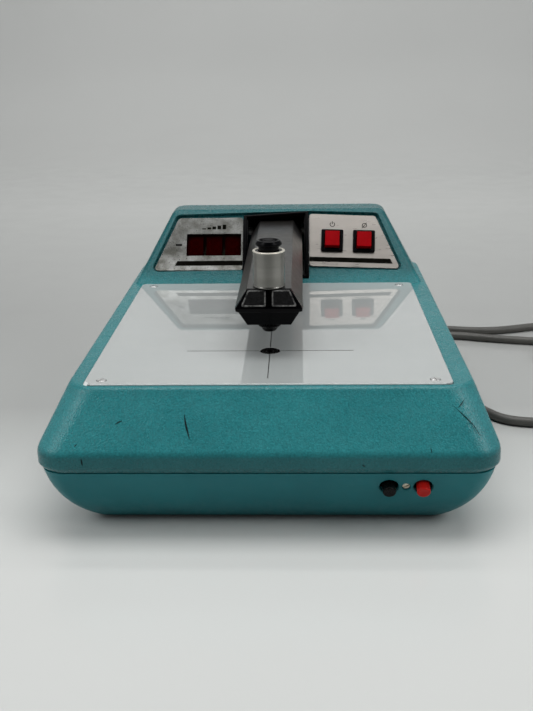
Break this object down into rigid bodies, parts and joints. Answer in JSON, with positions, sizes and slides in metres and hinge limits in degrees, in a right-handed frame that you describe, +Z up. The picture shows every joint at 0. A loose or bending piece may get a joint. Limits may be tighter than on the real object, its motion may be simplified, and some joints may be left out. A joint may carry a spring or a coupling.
{
  "type": "transmission densitometer",
  "caption": "Desktop meter that reads how dark a film is: a sprung arm over a white light table, on a teal case with a sloping console, display and push buttons.",
  "frame": {"origin": "under the middle of the case, on the surface that the feet stand on", "axes": "+X to the right of a person at the front, +Y to the rear, +Z up"},
  "size_m": [0.4546, 0.4193, 0.1529],
  "materials": {
    "teal_plastic": "fine leather-grain moulding",
    "white_acrylic": "polished",
    "panel_aluminium": "brushed",
    "arm_aluminium": "satin grey",
    "tube_aluminium": "satin turned",
    "black_gloss": "gloss",
    "black_crinkle": "crinkle paint",
    "red_cap": "gloss",
    "red_filter": "polished",
    "digit_red": "polished",
    "zinc_steel": "zinc plated",
    "trimmer_brass": "plain",
    "foot_rubber": "matt",
    "cord_grey": "satin",
    "circuit_board": "satin",
    "core_iron": "varnished laminations",
    "winding_tape": "varnished tape",
    "lamp_glass": "clear"
  },
  "bodies": {
    "case": {"aperture_disc": "black_gloss", "arm_stand": "zinc_steel", "calibration_board": "circuit_board", "case_screw_1": "zinc_steel", "case_screw_2": "zinc_steel", "case_screw_3": "zinc_steel", "case_screw_4": "zinc_steel", "control_panel": "panel_aluminium", "cord_coil": "cord_grey", "digit_1": "digit_red", "digit_2": "digit_red", "digit_3": "digit_red", "display_board": "circuit_board", "display_panel": "panel_aluminium", "display_window": "red_filter", "filter_capacitor": "winding_tape", "foot_1": "foot_rubber", "foot_2": "foot_rubber", "foot_3": "foot_rubber", "foot_4": "foot_rubber", "front_black_switch": "black_gloss", "front_red_switch": "black_gloss", "lamp": "lamp_glass", "lamp_holder": "black_gloss", "light_table_plate": "white_acrylic", "light_tube": "tube_aluminium", "lower_case": "teal_plastic", "main_board": "circuit_board", "mains_cord": "cord_grey", "mains_plug": "cord_grey", "null_bezel": "black_gloss", "null_switch": "black_gloss", "pivot_pin": "zinc_steel", "plate_screw_1": "zinc_steel", "plate_screw_2": "zinc_steel", "plate_screw_3": "zinc_steel", "plate_screw_4": "zinc_steel", "power_bezel": "black_gloss", "power_switch": "black_gloss", "regulator_heatsink": "tube_aluminium", "return_spring": "zinc_steel", "sign_indicator": "digit_red", "slot_bezel": "black_gloss", "strain_relief": "black_gloss", "transformer_core": "core_iron", "transformer_winding": "winding_tape", "trimmer_body": "black_gloss", "upper_case": "teal_plastic"},
    "arm": {"arm_housing": "arm_aluminium", "arm_end_cap": "black_crinkle", "measuring_nose": "black_gloss", "detector_cell": "tube_aluminium", "detector_tube": "tube_aluminium"},
    "finger_button": {"finger_button": "black_gloss"},
    "power_button": {"power_button": "red_cap"},
    "null_button": {"null_button": "red_cap"},
    "front_black_button": {"front_black_button": "black_gloss"},
    "front_red_button": {"front_red_button": "red_cap"},
    "trimmer_screw": {"trimmer_screw": "trimmer_brass"}
  },
  "joints": [
    {"name": "arm_press", "type": "hinge", "parent": "case", "child": "arm", "pos_m": [0, 0.13, 0.114], "axis": [1, 0, 0], "range_deg": [0, 3.25], "stiffness_Nm_per_rad": 2.6, "springref_deg": -9.17, "deforming": ["return_spring"]},
    {"name": "finger_button_press", "type": "slide", "parent": "arm", "child": "finger_button", "axis": [0, 0, -1], "range_m": [0, 0.002], "stiffness_N_per_m": 300, "springref_m": -0.002},
    {"name": "power_button_press", "type": "slide", "parent": "case", "child": "power_button", "axis": [0, 0.8028, -0.5962], "range_m": [0, 0.0025], "stiffness_N_per_m": 300, "springref_m": -0.002},
    {"name": "null_button_press", "type": "slide", "parent": "case", "child": "null_button", "axis": [0, 0.8028, -0.5962], "range_m": [0, 0.0025], "stiffness_N_per_m": 300, "springref_m": -0.002},
    {"name": "front_black_button_press", "type": "slide", "parent": "case", "child": "front_black_button", "axis": [0, 0.9205, 0.3907], "range_m": [0, 0.002], "stiffness_N_per_m": 200, "springref_m": -0.002},
    {"name": "front_red_button_press", "type": "slide", "parent": "case", "child": "front_red_button", "axis": [0, 0.9205, 0.3907], "range_m": [0, 0.002], "stiffness_N_per_m": 200, "springref_m": -0.002},
    {"name": "trimmer_turn", "type": "hinge", "parent": "case", "child": "trimmer_screw", "pos_m": [0.0764, -0.1755, 0.02985], "axis": [0, -0.9205, -0.3907], "range_deg": [-135, 135]}
  ]
}
